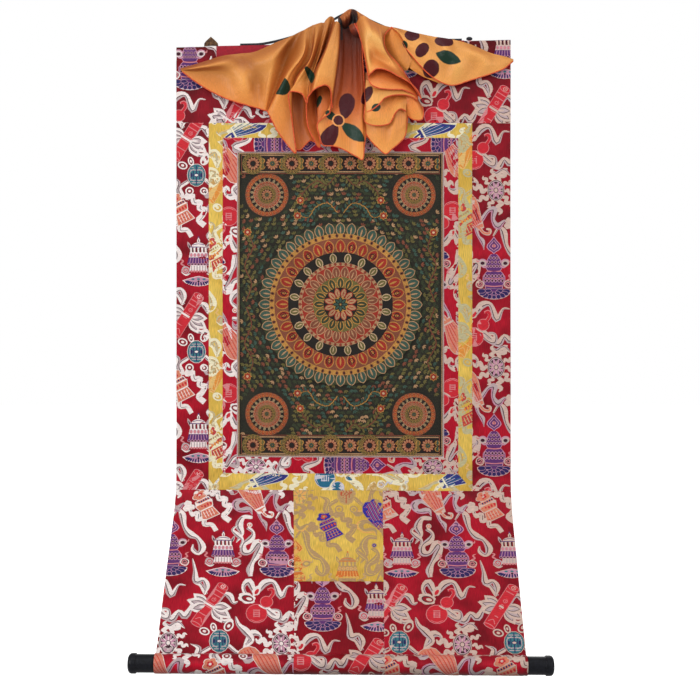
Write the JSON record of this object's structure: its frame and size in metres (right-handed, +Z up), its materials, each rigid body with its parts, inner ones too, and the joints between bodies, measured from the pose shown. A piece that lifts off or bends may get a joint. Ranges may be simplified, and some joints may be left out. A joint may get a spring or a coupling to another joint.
{
  "type": "hanging scroll painting",
  "caption": "Picture on canvas in red and yellow brocade borders, with a wooden roller below, a top batten, a hanging strap and a gathered orange silk cover.",
  "frame": {"origin": "top of the hanging strap's peak, where a nail or hook would hold it", "axes": "+Z up, the picture faces -Y, +X to the viewer's right; the strap and the top batten lie in the plane y = 0"},
  "size_m": [0.5656, 0.1685, 0.9219],
  "materials": {
    "picture_canvas": "grainy dark painted canvas",
    "piping": "fine pale cord",
    "red_brocade": "crimson satin ground with woven motifs",
    "yellow_brocade": "golden yellow satin ground with woven motifs",
    "orange_silk": "soft satin silk with printed petals and an overlocked hem",
    "plain_red": "plain crimson ribbon",
    "dark_tape": "dark woven tape",
    "tab_brocade": "dark brown and gold brocade",
    "dark_wood": "dark stained",
    "rod_wood": "plain",
    "cap_black": "satin black"
  },
  "bodies": {
    "root": {"picture_canvas": "picture_canvas", "picture_piping_top": "piping", "picture_piping_right": "piping", "picture_piping_bottom": "piping", "picture_piping_left": "piping", "red_border_top": "red_brocade", "red_border_right": "red_brocade", "red_border_bottom": "red_brocade", "red_border_left": "red_brocade", "yellow_border_top": "yellow_brocade", "yellow_border_right": "yellow_brocade", "yellow_border_bottom": "yellow_brocade", "yellow_border_left": "yellow_brocade", "outer_top": "red_brocade", "outer_left": "red_brocade", "outer_right": "red_brocade", "lower_left": "red_brocade", "lower_centre": "red_brocade", "lower_right": "red_brocade", "patch": "yellow_brocade", "top_batten": "dark_wood", "roller_rod": "rod_wood", "roller_cap_left": "cap_black", "roller_cap_right": "cap_black", "hanging_strap": "dark_tape", "strap_knot": "dark_tape", "corner_tab": "tab_brocade", "heading_band": "plain_red", "silk_cover": "orange_silk"}
  },
  "joints": []
}
